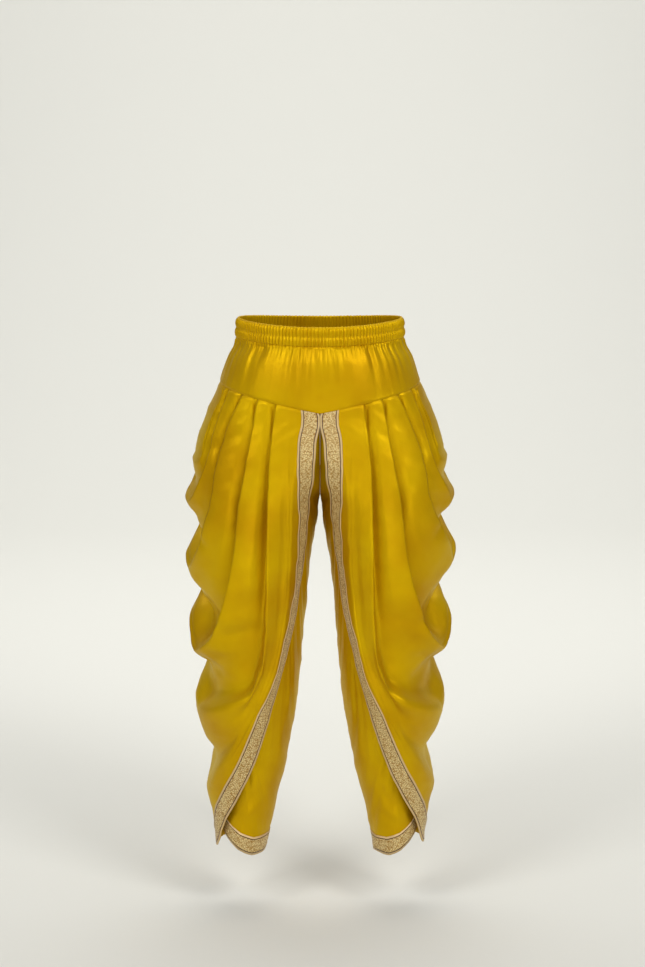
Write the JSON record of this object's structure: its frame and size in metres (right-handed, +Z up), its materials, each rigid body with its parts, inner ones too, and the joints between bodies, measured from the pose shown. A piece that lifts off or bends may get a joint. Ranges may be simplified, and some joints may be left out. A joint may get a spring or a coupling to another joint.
{
  "type": "dhoti trousers",
  "caption": "Hollow satin dhoti trousers in a worn shape: shirred elastic waist, fitted hip yoke, swagged pleated legs with woven metallic borders and tapered ankles.",
  "frame": {"origin": "middle of the waist opening, level with the top edge of the waistband at the front and back", "axes": "+Z up along the wearer's body, -Y the way the wearer faces, +X the wearer's left"},
  "size_m": [0.4825, 0.278, 0.973],
  "materials": {
    "satin": "mustard yellow polyester satin, soft sheen",
    "metallic_border": "woven metallic ribbon, speckled gold and beige with pale edges"
  },
  "bodies": {
    "root": {"waistband": "satin", "yoke_front": "satin", "yoke_back": "satin", "drape_left": "satin", "drape_right": "satin", "under_left": "satin", "under_right": "satin", "edge_border_left": "metallic_border", "edge_border_right": "metallic_border", "hem_border_left": "metallic_border", "hem_border_right": "metallic_border"}
  },
  "joints": []
}
